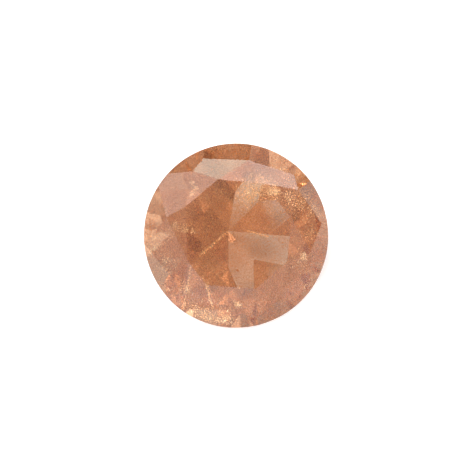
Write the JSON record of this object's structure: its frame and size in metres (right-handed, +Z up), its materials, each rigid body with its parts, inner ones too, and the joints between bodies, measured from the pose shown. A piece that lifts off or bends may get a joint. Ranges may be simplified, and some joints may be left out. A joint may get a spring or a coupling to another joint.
{
  "type": "faceted sunstone",
  "caption": "Loose round brilliant-cut sunstone, a see-through orange gem with glittering platelets inside, lying on a lower facet.",
  "frame": {"origin": "middle of the stone's box at the height of the facet it lies on", "axes": "+Z up, +X along the girdle's level diameter, the table leaning towards -Y"},
  "size_m": [0.008, 0.0064, 0.0054],
  "materials": {
    "sunstone": "polished, see-through orange feldspar",
    "platelets": "bright flat copper and haematite crystals inside the stone"
  },
  "bodies": {
    "root": {"sunstone": "sunstone"}
  },
  "joints": []
}
